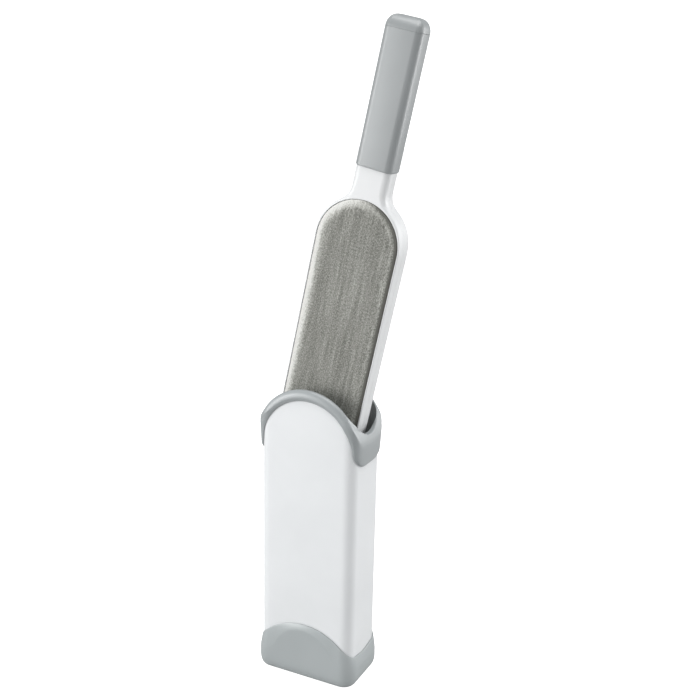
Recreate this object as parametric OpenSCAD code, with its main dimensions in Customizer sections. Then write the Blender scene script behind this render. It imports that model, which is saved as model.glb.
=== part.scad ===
// Double-sided pet-hair brush, half drawn out of its self-cleaning base.
// Frame: origin at the bottom centre of the base, +Z up, +X along the base's width, -Y is the front.

/* [Sleeve] */
// Width of the sleeve's broad faces
sleeve_w = 80.4; // [79.4:0.2:81.4]
// Depth of the sleeve, front to back
sleeve_d = 48; // [47:0.5:50]
// Radius of the sleeve's upright corners
sleeve_r = 9; // [8:0.5:10]
// Thickness of the sleeve's wall
wall = 1.7; // [1.5:0.1:1.8]

/* [Mouth and collar] */
// Height of the base, to the crown of the collar
base_h = 238; // [234:1:242]
// Radius of the collar's crown, seen from the front
crown_r = 43; // [42.5:0.1:43.5]
// Width of the collar's band across the crown
band_w = 8.5; // [7:0.5:10]
// How far the collar stands out on the narrow sides
collar_out_side = 3; // [2.6:0.1:3.4]
// How far the collar stands out on the broad faces
collar_out_face = 2.2; // [1.8:0.1:2.6]
// Thickness of the collar over the sleeve's rim
collar_cap = 3; // [2.5:0.1:3.5]
// Height of the collar's side tongues at their lower edge
tongue_z = 181; // [178:1:184]
// Height of the dip in the collar's rim on the narrow sides
dip_z = 205; // [203:0.5:207]
// Radius of that dip
dip_r = 20; // [19:0.5:21]
// Radius of the tongues' lower corners
tongue_r = 16; // [14:0.5:17]

/* [Boot] */
// Flare of the boot beyond the sleeve, at its widest
boot_flare = 2.7; // [2.4:0.1:3]
// Height at which the boot is widest
boot_wide_z = 8.5; // [8:0.5:10]
// Height of the boot's arched edge at the middle of the broad faces
boot_arch_z = 46; // [44:0.5:48]
// Radius of that arched edge
boot_arch_r = 48.7; // [48:0.1:50]
// Skin of the boot over the sleeve at its arched edge
boot_skin = 1.1; // [1:0.1:1.3]
// Height of the recessed floor above the standing rim
floor_z = 1.5; // [1.5:0.1:1.8]
// Thickness of the boot's floor
floor_t = 3; // [2.8:0.1:3.2]

/* [Door] */
// Length of the floor door, without its hinge
door_l = 58.5; // [56:0.5:58.5]
// Width of the floor door
door_w = 30; // [28:0.5:30]
// Thickness of the floor door
door_t = 2.5; // [2.2:0.1:2.7]
// Radius of the hinge pin
pin_r = 1; // [0.8:0.1:1.1]
// Running clearance of the door's knuckle on the pin
pin_gap = 0.06; // [0.04:0.01:0.09]

/* [Wipers] */
// Width of the wiper carriers
carrier_w = 58; // [52:1:59]
// Lower end of the wiper carriers
carrier_z0 = 26; // [24:1:32]
// Upper end of the wiper carriers
carrier_z1 = 186; // [170:1:190]
// Free gap between each wiper and the brush's pad
wiper_gap = 0.4; // [0.35:0.05:0.6]

/* [Brush] */
// Width of the paddle
paddle_w = 66.8; // [66:0.2:67]
// Thickness of the paddle's shells, without pads
paddle_t = 17; // [16:0.5:17]
// Length of the pad, from the paddle's lower end to the pad's upper end
pad_l = 212; // [208:1:213]
// White rim between the pad and the paddle's edge
rim = 1.4; // [1.2:0.1:1.6]
// How far each pad stands proud of its shell
pad_rise = 1.4; // [1.2:0.1:1.5]
// Width of the neck
neck_w = 27.6; // [26:0.2:28]
// Radius of the hollow between shoulder and neck
shoulder_r = 14; // [12:1:16]
// Height of the grip's lower edge above the paddle's lower end
grip_z0 = 234.5; // [232:0.5:238]
// Length of the grip, without its end cap
grip_l = 94; // [90:1:110]
// Width of the grip
grip_w = 28.8; // [28.2:0.2:30]
// Thickness of the grip
grip_t = 19.2; // [18.4:0.2:20]
// Height of the grip's end cap
cap_h = 9; // [8:1:11]

/* [Travel] */
// Height of the paddle's lower end when the brush is home
seat_z = 16; // [16:0.5:18]
// Lean of the brush as it is drawn out to the rest pose, in degrees
lean = 11.9; // [11.5:0.1:12.1]
// Centre of the arc along which the brush is drawn out: distance to the side
swing_x = 736; // [730:1:742]
// Centre of the arc: height
swing_z = 128; // [127:1:129]

/* [Hidden] */
$fn = 96;
eps = 0.01;
far = 200;

inner_w = sleeve_w - 2 * wall;
inner_d = sleeve_d - 2 * wall;
inner_r = sleeve_r - wall;

crown_z = base_h - crown_r;
collar_w = sleeve_w + 2 * collar_out_side;
collar_d = sleeve_d + 2 * collar_out_face;
collar_r = sleeve_r + (collar_out_side + collar_out_face) / 2;
// Lower edge of the band: a circle of its own, a little lower and smaller than the crown
band_inset = 5.5;
band_r = crown_r - band_inset;
band_z = base_h - band_w - band_r;
// The collar also lines the mouth, in a step in the sleeve's wall
lining = 0.8;
lining_z = 196;

boot_w = sleeve_w + 2 * boot_flare;
boot_d = sleeve_d + 2 * boot_flare;
boot_r = sleeve_r + 2.2 * boot_flare; // rounder than the sleeve's corners
boot_toe = 4;
boot_rim = 1.3;
boot_top_r = sleeve_r + boot_skin;
fit = 0.05;
// The sleeve's lower edge stands on the boot's floor
sleeve_z = floor_z + floor_t;

hinge_x = -31.5;
hinge_z = floor_z + 2.1;
knuckle_r = 2.2;
knuckle_l = 14;
ear_l = 3.5;
pin_l = knuckle_l + 2 * ear_l;
door_x0 = -28.5;
door_gap = 0.4;
nail_l = 5;
nail_w = 14;
nail_h = 1;

screw_x = inner_w / 2 - 3.6;
screw_y = 14.5;
screw_shank_r = 1.3;
screw_head_r = 2.4;
screw_head_h = 1.6;
screw_l = 13;
boss_r = 3.9;
boss_h = 16;

carrier_skin = 1.5;
carrier_corner = 6;
rib_n = 4;
foam_t = 1.4;
wrap_t = 1;
wrap_side = 1.3;

half_t = paddle_t / 2;
end_r = paddle_w / 2;
pad_r = end_r - rim;
top_z = pad_l - pad_r;
shell_t = 2;
recess = 1.5;
board_t = 1.2;
nap_t = 0.9;
pad_foam_t = pad_rise + recess - board_t - nap_t;
pad_face = half_t + pad_rise;
tang_w = 20;
tang_t = 11;
tang_r = 3;
tang_z = grip_z0 + grip_l - 8;
tang_fit = 0.1;
joint_screw_x = 17;
joint_screw_z = [48, 168];
joint_shank_r = 1.15;
joint_head_r = 2.7;
joint_head_h = 1.5;
joint_boss_r = 3.4;
wiper_face = pad_face + wiper_gap;

// Rounded rectangle about the origin
module rounded(w, d, r) {
    square([w - 2 * r, d], center = true);
    square([w, d - 2 * r], center = true);
    for (x = [-1, 1], y = [-1, 1])
        translate([x * (w / 2 - r), y * (d / 2 - r)]) circle(r);
}

// Upright prism of a rounded rectangle, from z0 to z1
module post(w, d, r, z0, z1) {
    translate([0, 0, z0]) linear_extrude(z1 - z0) rounded(w, d, r);
}

// A front-view outline (x across, y up) made solid from y0 to y1
module slab(y0, y1) {
    translate([0, y1, 0]) rotate([90, 0, 0]) linear_extrude(y1 - y0) children();
}

// Long outline with two round ends of radius r, from height r - edge to top + edge
module long_pad(r, low, high) {
    translate([0, low]) circle(r);
    translate([0, high]) circle(r);
    translate([-r, low]) square([2 * r, high - low]);
}

// Everything under an arch: a circle of radius r about height z, with straight legs of half-width w
module arch(r, z, w) {
    translate([0, z]) circle(r);
    translate([-w, -10]) square([2 * w, z + 10]);
}

// The dip that is cut into the narrow sides, radius r about the same centre as the collar's dip
module side_dip(r) {
    translate([-far / 2, 0, dip_z + dip_r]) rotate([0, 90, 0]) cylinder(h = far, r = r);
}

// The arched opening below the collar's band, through both broad faces
module band_opening() {
    slab(-far, far) arch(band_r, band_z, band_r);
}

module screw_posts(r, z0, z1) {
    for (x = [-1, 1], y = [-1, 1])
        translate([x * screw_x, y * screw_y, z0]) cylinder(h = z1 - z0, r = r);
}

module sleeve_solid() {
    difference() {
        intersection() {
            union() {
                difference() {
                    post(sleeve_w, sleeve_d, sleeve_r, sleeve_z, base_h);
                    post(inner_w, inner_d, inner_r, sleeve_z - 1, base_h + 1);
                }
                intersection() {
                    screw_posts(boss_r, sleeve_z, sleeve_z + boss_h);
                    post(sleeve_w, sleeve_d, sleeve_r, sleeve_z, base_h);
                }
            }
            slab(-far, far) arch(crown_r - collar_cap, crown_z, sleeve_w);
        }
        side_dip(dip_r + collar_cap);
        difference() {
            post(inner_w + 2 * lining, inner_d + 2 * lining, inner_r + lining, lining_z, base_h + 1);
            band_opening();
        }
        screw_posts(screw_shank_r + fit, sleeve_z - 1, floor_z + screw_head_h + screw_l);
    }
}

module sleeve() {
    color("white") sleeve_solid();
}

module collar() {
    color("darkgray") difference() {
        intersection() {
            post(collar_w, collar_d, collar_r, tongue_z, base_h);
            slab(-far, far) arch(crown_r, crown_z, collar_w);
            // Side view of the tongues, whose lower corners are round
            rotate([90, 0, 90]) linear_extrude(far, center = true)
                translate([0, tongue_z + far / 2]) rounded(collar_d + 2 * eps, far, tongue_r);
        }
        band_opening();
        side_dip(dip_r);
        sleeve_solid();
        post(inner_w + 2 * eps, inner_d + 2 * eps, inner_r, 0, base_h + 1);
    }
}

// Solid outer form of the boot, without its hollow
module boot_form() {
    intersection() {
        hull() {
            post(boot_w - 2 * boot_toe, boot_d - 2 * boot_toe, boot_r - boot_toe, 0, eps, $fn = 32);
            post(boot_w - boot_toe, boot_d - boot_toe, boot_r - boot_toe / 2, 1, 1 + eps, $fn = 32);
            post(boot_w - 1, boot_d - 1, boot_r - 0.5, boot_wide_z / 2, boot_wide_z / 2 + eps, $fn = 32);
            post(boot_w, boot_d, boot_r, boot_wide_z, boot_wide_z + eps, $fn = 32);
            post(sleeve_w + 2 * boot_skin, sleeve_d + 2 * boot_skin, boot_top_r,
                 boot_arch_z + 2, boot_arch_z + 2 + eps, $fn = 32);
        }
        slab(-far, far) translate([0, boot_arch_z - boot_arch_r]) circle(boot_arch_r);
    }
}

module boot() {
    open_x0 = door_x0 - 1.1;
    open_x1 = door_x0 + door_l + door_gap;
    color("darkgray") difference() {
        union() {
            difference() {
                boot_form();
                post(sleeve_w + 2 * fit, sleeve_d + 2 * fit, sleeve_r + fit, sleeve_z, base_h);
                post(boot_w - 2 * boot_toe - 2 * boot_rim, boot_d - 2 * boot_toe - 2 * boot_rim,
                     boot_r - boot_toe - 3, -1, floor_z);
            }
            // Two ears that hold the hinge pin
            for (side = [-1, 1])
                translate([hinge_x - knuckle_r - 0.8, side * (knuckle_l + ear_l) / 2 - ear_l / 2, floor_z])
                    cube([2 * knuckle_r + 1.6, ear_l, hinge_z + knuckle_r - floor_z]);
        }
        // Opening of the door, and the slot of its knuckle
        translate([open_x0, -door_w / 2 - door_gap, -1])
            cube([open_x1 - open_x0, door_w + 2 * door_gap, sleeve_z + 1 + eps]);
        translate([hinge_x - knuckle_r - 0.6, -knuckle_l / 2 - 0.3, -1])
            cube([2 * knuckle_r + 2, knuckle_l + 0.6, sleeve_z + 10]);
        translate([hinge_x, -pin_l / 2, hinge_z]) rotate([-90, 0, 0])
            cylinder(h = pin_l, r = pin_r + fit / 2);
        screw_posts(screw_shank_r + fit, 0, sleeve_z + 1);
        screw_posts(screw_head_r + fit, 0, floor_z + screw_head_h);
    }
}

module bottom_door() {
    color("gray") difference() {
        union() {
            translate([door_x0 + door_l / 2, 0, floor_z]) linear_extrude(door_t) rounded(door_l, door_w, 2);
            // Knuckle, and the web that joins it to the plate
            translate([hinge_x, -knuckle_l / 2, hinge_z]) rotate([-90, 0, 0])
                cylinder(h = knuckle_l, r = knuckle_r);
            translate([hinge_x, -knuckle_l / 2, floor_z + 0.2])
                cube([door_x0 - hinge_x + 1, knuckle_l, door_t - 0.4]);
            // Ridge for a fingernail
            translate([door_x0 + door_l - nail_l - 1, -nail_w / 2, floor_z - nail_h])
                cube([nail_l / 2, nail_w, nail_h + eps]);
        }
        translate([hinge_x, -knuckle_l / 2 - 1, hinge_z]) rotate([-90, 0, 0])
            cylinder(h = knuckle_l + 2, r = pin_r + pin_gap);
    }
}

module door_hinge_pin() {
    color("silver") translate([hinge_x, -pin_l / 2 + 0.1, hinge_z]) rotate([-90, 0, 0])
        cylinder(h = pin_l - 0.2, r = pin_r);
}

module boot_screws() {
    color("silver") {
        screw_posts(screw_head_r, floor_z, floor_z + screw_head_h);
        screw_posts(screw_shank_r, floor_z, floor_z + screw_head_h + screw_l - 1);
    }
}

// Outline of a wiper, in by a margin on every side, seen from the front
module wiper_outline(margin) {
    w = carrier_w - 2 * margin;
    h = carrier_z1 - carrier_z0 - 2 * margin;
    translate([0, (carrier_z0 + carrier_z1) / 2]) rounded(w, h, carrier_corner - margin);
}

// A wiper piece is made for the front wall, where outer is the face nearer the wall
module wiper_carrier() {
    outer = -inner_d / 2 + fit;
    face = -wiper_face - wrap_t - foam_t;
    pocket_h = (carrier_z1 - carrier_z0 - 2 * carrier_corner - (rib_n - 1) * carrier_skin) / rib_n;
    color("white") difference() {
        slab(outer, face) wiper_outline(0);
        for (i = [0 : rib_n - 1])
            translate([0, 0, carrier_z0 + carrier_corner + i * (pocket_h + carrier_skin)])
                translate([-carrier_w / 2 + carrier_skin, outer - 1, 0])
                    cube([carrier_w - 2 * carrier_skin, face - outer + 1 - carrier_skin, pocket_h]);
    }
}

module wiper_foam() {
    color("dimgray") slab(-wiper_face - wrap_t - foam_t, -wiper_face - wrap_t)
        wiper_outline(1 + wrap_side);
}

module wiper_fabric() {
    color("gray") difference() {
        slab(-wiper_face - wrap_t - foam_t, -wiper_face) wiper_outline(1);
        slab(-wiper_face - wrap_t - foam_t - 1, -wiper_face - wrap_t) wiper_outline(1 + wrap_side - eps);
    }
}

// Turns a front piece into its back twin
module back() {
    mirror([0, 1, 0]) children();
}

// Carries a brush piece from its home place, upright in the base, along the arc to its rest pose
module drawn_out() {
    translate([swing_x, 0, swing_z]) rotate([0, lean, 0]) translate([-swing_x, 0, seat_z - swing_z])
        children();
}

// Paddle and neck seen from the front, in by a margin: round ends, hollow shoulders, straight neck
module paddle_outline(margin) {
    r = end_r - margin;
    hollow = shoulder_r + margin;
    neck = neck_w / 2 - margin;
    hollow_x = neck + hollow;
    hollow_z = top_z + sqrt(pow(r + hollow, 2) - pow(hollow_x, 2));
    touch = r / (r + hollow);
    long_pad(r, end_r, top_z);
    translate([-neck, top_z]) square([2 * neck, grip_z0 - top_z]);
    for (side = [-1, 1]) difference() {
        polygon([[0, top_z], [side * touch * hollow_x, top_z + touch * (hollow_z - top_z)],
                 [side * hollow_x, hollow_z], [side * neck, hollow_z], [0, hollow_z]]);
        translate([side * hollow_x, hollow_z]) circle(hollow);
    }
}

module joint_screws_at(r, y0, y1) {
    for (x = [-1, 1], z = joint_screw_z)
        translate([x * joint_screw_x, y1, z]) rotate([90, 0, 0]) cylinder(h = y1 - y0, r = r);
}

// Front half of the paddle, neck and tang; the joint between the halves is the plane y = 0
module paddle_half(bore_r, head_r) {
    plate_y = -half_t + recess + shell_t;
    difference() {
        union() {
            difference() {
                slab(-half_t, 0) paddle_outline(0);
                slab(plate_y, eps) intersection() {
                    paddle_outline(shell_t);
                    translate([-far / 2, 0]) square([far, grip_z0 - shell_t]);
                }
            }
            intersection() {
                post(tang_w, tang_t, tang_r, grip_z0 - shell_t, tang_z);
                slab(-half_t, 0) translate([-far / 2, 0]) square([far, 2 * far]);
            }
            joint_screws_at(joint_boss_r, plate_y - eps, 0);
        }
        slab(-half_t - 1, -half_t + recess) long_pad(pad_r + 0.3, end_r, top_z);
        joint_screws_at(bore_r, -half_t + recess - eps, eps);
        joint_screws_at(head_r, -half_t + recess - eps, -half_t + recess + joint_head_h);
    }
}

module paddle_front_shell() {
    color("white") drawn_out() paddle_half(joint_shank_r + 0.2, joint_head_r + 0.1);
}

module paddle_back_shell() {
    color("white") drawn_out() back() paddle_half(joint_shank_r + fit, joint_shank_r + fit);
}

module paddle_screws() {
    top = -half_t + recess;
    color("silver") drawn_out() {
        joint_screws_at(joint_head_r, top, top + joint_head_h);
        joint_screws_at(joint_shank_r, top, half_t - recess - 0.5);
    }
}

module pad_board() {
    top = -half_t + recess;
    slab(top - board_t, top) long_pad(pad_r - wrap_side, end_r, top_z);
}

module pad_foam() {
    top = -half_t + recess - board_t;
    slab(top - pad_foam_t, top) long_pad(pad_r - wrap_side, end_r, top_z);
}

module pad_fabric() {
    top = -half_t + recess;
    difference() {
        slab(-pad_face, top) long_pad(pad_r, end_r, top_z);
        slab(top - board_t - pad_foam_t, top + 1) long_pad(pad_r - wrap_side + eps, end_r, top_z);
    }
}

module grip() {
    color("darkgray") drawn_out() difference() {
        post(grip_w, grip_t, 5.5, grip_z0, grip_z0 + grip_l);
        post(tang_w + 2 * tang_fit, tang_t + 2 * tang_fit, tang_r, grip_z0 - 1, grip_z0 + grip_l + 1);
    }
}

module grip_end_cap() {
    z = grip_z0 + grip_l;
    color("darkgray") drawn_out() union() {
        hull() {
            post(grip_w, grip_t, 5.5, z, z + 1, $fn = 32);
            post(grip_w - 3, grip_t - 3, 5, z + 0.6 * cap_h, z + 0.6 * cap_h + 0.5, $fn = 32);
            post(grip_w - 11, grip_t - 10, 4, z + cap_h - 0.5, z + cap_h, $fn = 32);
        }
        post(tang_w, tang_t, tang_r, tang_z + 0.5, z + eps);
    }
}

module wiper_carrier_front() { wiper_carrier(); }
module wiper_carrier_back() { back() wiper_carrier(); }
module wiper_foam_front() { wiper_foam(); }
module wiper_foam_back() { back() wiper_foam(); }
module wiper_fabric_front() { wiper_fabric(); }
module wiper_fabric_back() { back() wiper_fabric(); }
module pad_board_front() { color("gainsboro") drawn_out() pad_board(); }
module pad_board_back() { color("gainsboro") drawn_out() back() pad_board(); }
module pad_foam_front() { color("dimgray") drawn_out() pad_foam(); }
module pad_foam_back() { color("dimgray") drawn_out() back() pad_foam(); }
module pad_fabric_front() { color("gray") drawn_out() pad_fabric(); }
module pad_fabric_back() { color("gray") drawn_out() back() pad_fabric(); }

sleeve();
collar();
boot();
bottom_door();
door_hinge_pin();
boot_screws();
wiper_carrier_front();
wiper_carrier_back();
wiper_foam_front();
wiper_foam_back();
wiper_fabric_front();
wiper_fabric_back();
paddle_front_shell();
paddle_back_shell();
pad_board_front();
pad_board_back();
pad_foam_front();
pad_foam_back();
pad_fabric_front();
pad_fabric_back();
paddle_screws();
grip();
grip_end_cap();
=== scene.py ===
import math

import bmesh
import bpy
import numpy as np
from mathutils import Matrix


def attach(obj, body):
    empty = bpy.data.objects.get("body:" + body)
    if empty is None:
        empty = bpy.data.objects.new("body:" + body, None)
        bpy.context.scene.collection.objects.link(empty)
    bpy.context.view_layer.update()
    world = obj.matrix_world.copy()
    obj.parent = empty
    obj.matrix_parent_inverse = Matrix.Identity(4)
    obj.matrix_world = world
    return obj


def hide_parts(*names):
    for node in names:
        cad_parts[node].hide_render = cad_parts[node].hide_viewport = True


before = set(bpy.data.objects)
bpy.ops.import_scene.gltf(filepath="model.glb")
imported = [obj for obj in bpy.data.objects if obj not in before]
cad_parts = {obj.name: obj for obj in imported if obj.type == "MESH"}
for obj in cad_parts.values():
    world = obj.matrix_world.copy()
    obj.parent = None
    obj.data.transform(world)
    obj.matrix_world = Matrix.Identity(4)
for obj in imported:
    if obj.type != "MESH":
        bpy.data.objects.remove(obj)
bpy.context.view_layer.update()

# ---------------------------------------------------------------------------
# Sleeve: the tall white box of the base, an open tube of injection-moulded
# plastic with rounded upright corners. It plugs into the boot and is screwed
# to it from below. Its shape is exact already, so only its finish is made.
# ---------------------------------------------------------------------------
SLEEVE_WHITE = (0.76, 0.775, 0.785, 1)
SLEEVE_SHADE = (0.735, 0.75, 0.76, 1)
SLEEVE_ROUGH, PLASTIC_IOR = 0.36, 1.49
CLOUDS_A_METRE, SHADE_BELOW, TONE_ABOVE = 22, 0.35, 0.62
ROUGH_DRIFT, GRAIN_BUMP = 0.06, 0.35
FINE_GRAIN, COARSE_GRAIN, GRAIN_DEPTH = 5e-4, 6e-4, 2e-5


def moulded_plastic(name, tone, shade, roughness, grain_size, grain_depth, shine=0.5):
    """A moulded plastic. Its colour drifts a little between tone and shade in soft clouds a few
    centimetres wide. A fine spark-eroded grain, grain_size metres wide and grain_depth deep,
    roughens the surface and lets its gloss come and go."""
    material = bpy.data.materials.new(name)
    material.use_nodes = True
    nodes, links = material.node_tree.nodes, material.node_tree.links
    plastic = nodes["Principled BSDF"]
    place = nodes.new("ShaderNodeTexCoord").outputs["Object"]

    clouds = nodes.new("ShaderNodeTexNoise")
    clouds.inputs["Scale"].default_value = CLOUDS_A_METRE
    clouds.inputs["Detail"].default_value = 3
    drift = nodes.new("ShaderNodeValToRGB")
    for stop, (level, colour) in zip(drift.color_ramp.elements, ((SHADE_BELOW, shade), (TONE_ABOVE, tone))):
        stop.position, stop.color = level, colour
    links.new(place, clouds.inputs["Vector"])
    links.new(clouds.outputs["Fac"], drift.inputs["Fac"])
    links.new(drift.outputs["Color"], plastic.inputs["Base Color"])

    grain = nodes.new("ShaderNodeTexNoise")
    grain.inputs["Scale"].default_value = 1 / grain_size
    grain.inputs["Detail"].default_value = 2
    rough = nodes.new("ShaderNodeMapRange")
    rough.inputs["To Min"].default_value = roughness - ROUGH_DRIFT
    rough.inputs["To Max"].default_value = roughness + ROUGH_DRIFT
    bump = nodes.new("ShaderNodeBump")
    bump.inputs["Strength"].default_value = GRAIN_BUMP
    bump.inputs["Distance"].default_value = grain_depth
    links.new(place, grain.inputs["Vector"])
    links.new(grain.outputs["Fac"], rough.inputs["Value"])
    links.new(rough.outputs["Result"], plastic.inputs["Roughness"])
    links.new(grain.outputs["Fac"], bump.inputs["Height"])
    links.new(bump.outputs["Normal"], plastic.inputs["Normal"])
    plastic.inputs["IOR"].default_value = PLASTIC_IOR
    plastic.inputs["Specular IOR Level"].default_value = shine
    return material


def refinish(node, material):
    """Gives a CAD node's own mesh a material."""
    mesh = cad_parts[node].data
    mesh.materials.clear()
    mesh.materials.append(material)


sleeve_plastic = moulded_plastic("sleeve_white_plastic", SLEEVE_WHITE, SLEEVE_SHADE, SLEEVE_ROUGH,
                                 FINE_GRAIN, GRAIN_DEPTH)
refinish("sleeve", sleeve_plastic)

# ---------------------------------------------------------------------------
# Boot: the grey plastic foot. It flares out below, is widest just above the
# rim it stands on, and thins out to an arched edge on the sleeve's faces.
# ---------------------------------------------------------------------------
MM = 0.001
SLEEVE_HALF_W, SLEEVE_HALF_D, SLEEVE_R = 40.2, 24.0, 9.0
FRONT_FLAT = SLEEVE_HALF_W - SLEEVE_R
CORNER_ARC = SLEEVE_R * math.pi / 2
SIDE_FLAT = SLEEVE_HALF_D - SLEEVE_R
QUARTER = FRONT_FLAT + CORNER_ARC + SIDE_FLAT

GREY_ROUGH, GREY_SHINE = 0.38, 1.0
BOOT_GREY = (0.375, 0.405, 0.41, 1)
BOOT_SHADE = (0.355, 0.385, 0.39, 1)
BOOT_FLARE, BOOT_WIDE_Z, BOOT_TOE, BOOT_RIM = 2.7, 8.5, 4.0, 1.3
BOOT_ARCH_R, BOOT_ARCH_Z, SIDE_DROP = 48.7, 46.0, 2.2
FACE_R, FACE_Z, FACE_END = 26.5, 15.0, 24.0
FLANK_Z, FLANK_RISE, FLANK_FADE = 14.0, 12.2, 0.172
LEAST_BEVEL, TAPER_RISE = 4.0, 35.0
BOOT_SKIN, BOOT_EDGE, EDGE_GAP = 2.4, 0.85, 0.36
BOOT_FLOOR_Z0, BOOT_FLOOR_Z1, FLOOR_LAP = 1.5, 4.5, 1e-5
CREASE, FLOOR_CREASE = 40, 30


def round_the_sleeve(w, out):
    """Right front quarter of the sleeve's outline, walked a length w from the middle of the front
    to the middle of the right side: a straight, a quarter circle, a straight. The point is set
    out by a distance along the outline's normal. Gives x, y and the normal's two parts."""
    turn = np.clip((w - FRONT_FLAT) / SLEEVE_R, 0, math.pi / 2)
    nx, ny = np.sin(turn), -np.cos(turn)
    x = np.minimum(w, FRONT_FLAT) + (SLEEVE_R + out) * nx
    y = -SIDE_FLAT + (SLEEVE_R + out) * ny + np.clip(w - FRONT_FLAT - CORNER_ARC, 0, SIDE_FLAT)
    return x, y, nx, ny


def full_ring(quarter):
    """Mirrors a quarter of a ring, rows by columns from front middle to side middle, to all four."""
    right = np.concatenate([quarter, quarter[:, -2::-1] * (1, -1, 1)], 1)
    left = right[:, -2:0:-1] * (-1, 1, 1)
    return np.concatenate([right, left], 1)


def grid_quads(rows, cols, closed):
    """Corner numbers of a grid's quads. The last column joins the first, and where the section
    is closed the last row joins the first too."""
    r, c = np.meshgrid(np.arange(rows - (not closed)), np.arange(cols), indexing="ij")
    r1, c1 = (r + 1) % rows, (c + 1) % cols
    return np.stack([r * cols + c, r * cols + c1, r1 * cols + c1, r1 * cols + c], -1).reshape(-1, 4)


def build_mesh(name, rings, closed):
    """One closed mesh from rings of points in millimetres, rows by columns. Its section is closed
    too, or its first and last rings shrink to a line or a point. Points that fall together are
    joined, and the faces are set facing outwards."""
    mesh = bpy.data.meshes.new(name)
    mesh.from_pydata(rings.reshape(-1, 3) * MM, [], grid_quads(*rings.shape[:2], closed))
    shell = bmesh.new()
    shell.from_mesh(mesh)
    bmesh.ops.remove_doubles(shell, verts=shell.verts, dist=2e-6)
    bmesh.ops.dissolve_degenerate(shell, edges=shell.edges, dist=1e-6)
    bmesh.ops.recalc_face_normals(shell, faces=shell.faces)
    shell.to_mesh(mesh)
    shell.free()
    mesh.shade_smooth()
    mesh.set_sharp_from_angle(angle=math.radians(CREASE))
    return mesh


def place_piece(mesh, material, body, nodes):
    """Adds a finished mesh to the scene, on its body, in place of its CAD nodes."""
    piece = bpy.data.objects.new(mesh.name, mesh)
    bpy.context.scene.collection.objects.link(piece)
    mesh.materials.clear()
    mesh.materials.append(material)
    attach(piece, body)
    if nodes:
        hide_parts(*nodes)
    return piece


def soft_step(x, lo, hi):
    """0 below lo, 1 above hi, and an S curve between them."""
    t = np.clip((x - lo) / (hi - lo), 0, 1)
    return t * t * (3 - 2 * t)


def boot_shell():
    """The boot's skin. Its edge is an arch across the faces and nearly level on the narrow
    sides. Outwards it follows a quarter ellipse up from the toe to the widest line, then a
    slow taper to the plateau's line: a circle on the broad face, and past its end a curve that
    dies away towards the flank's level. From there it falls in to the sleeve over a bevel that
    is narrow at the crown of the arch and wide at the corners. A hairline gap stays open round
    the sleeve, and under the floor the rim it stands on is closed."""
    w = np.linspace(0, QUARTER, 61)[None, :]
    x0, _, _, _ = round_the_sleeve(w, 0.0)
    edge = BOOT_ARCH_Z - BOOT_ARCH_R + np.sqrt(BOOT_ARCH_R**2 - x0**2)
    edge = edge - SIDE_DROP * soft_step(w, 40, QUARTER)
    plateau = FACE_Z + np.sqrt(np.maximum(FACE_R**2 - x0**2, 0))
    plateau = np.where(w < FACE_END, plateau, FLANK_Z + FLANK_RISE * np.exp(-FLANK_FADE * (w - FACE_END)))
    plateau = np.minimum(plateau, edge - LEAST_BEVEL)

    up = np.concatenate([1 - np.cos(np.linspace(0, math.pi / 2, 9)), [1.3]])[:, None]
    low_z = BOOT_WIDE_Z * up
    low_out = BOOT_FLARE - BOOT_TOE * (1 - np.sqrt(1 - np.clip(1 - up, 0, 1) ** 2))

    def taper(z):
        """How far the skin stands out above the widest line, growing evenly thinner."""
        return BOOT_FLARE + (BOOT_SKIN - BOOT_FLARE) * np.clip((z - BOOT_WIDE_Z) / TAPER_RISE, 0, 1)

    part = np.linspace(0, 1, 15)[1:, None]
    flank_z = low_z[-1] + (plateau - low_z[-1]) * part
    bevel = np.concatenate([[0.06, 0.14], np.linspace(0.25, 1, 11)])[:, None]
    bevel_z = plateau + (edge - 0.12 - plateau) * bevel
    fall = taper(plateau) - BOOT_EDGE
    bevel_out = taper(plateau) - fall * (0.75 * bevel**1.15 + 0.25 * bevel**3)
    high_z = np.concatenate([flank_z, bevel_z])
    high_out = np.concatenate([taper(flank_z), bevel_out])
    low_out = np.where(low_z > BOOT_WIDE_Z, taper(low_z), low_out)

    ones = np.ones_like(w)
    z = [low_z * ones, high_z, edge - 0.03, edge]
    out = [low_out * ones, high_out, high_out[-1:] - 0.05, high_out[-1:] - 0.14]
    for height, gap in ((edge, EDGE_GAP + 0.06), (edge - 0.04, EDGE_GAP), (edge - 1.2, EDGE_GAP),
                        (edge - 1.2, 0.02), (BOOT_FLOOR_Z1 * ones, 0.02)):
        z.append(height)
        out.append(gap * ones)
    z, out = np.concatenate(z), np.concatenate(out)
    x, y, _, _ = round_the_sleeve(w + 0 * z, out)
    skin = np.stack([x, y, z], -1)

    inner = -(BOOT_TOE + BOOT_RIM - BOOT_FLARE)
    under = []
    for height, set_in in ((BOOT_FLOOR_Z1, inner), (BOOT_FLOOR_Z0, inner), (0.35, inner),
                           (0.0, inner + 0.35), (0.0, BOOT_FLARE - BOOT_TOE - 0.4)):
        x, y, _, _ = round_the_sleeve(w, set_in)
        under.append(np.stack([x, y, height * ones], -1))
    return full_ring(np.concatenate([skin, *under]))


boot_plastic = moulded_plastic("boot_grey_plastic", BOOT_GREY, BOOT_SHADE, GREY_ROUGH, COARSE_GRAIN,
                               GRAIN_DEPTH, GREY_SHINE)
place_piece(build_mesh("boot_shell", boot_shell(), True), boot_plastic, "base", ["boot"])


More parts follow.
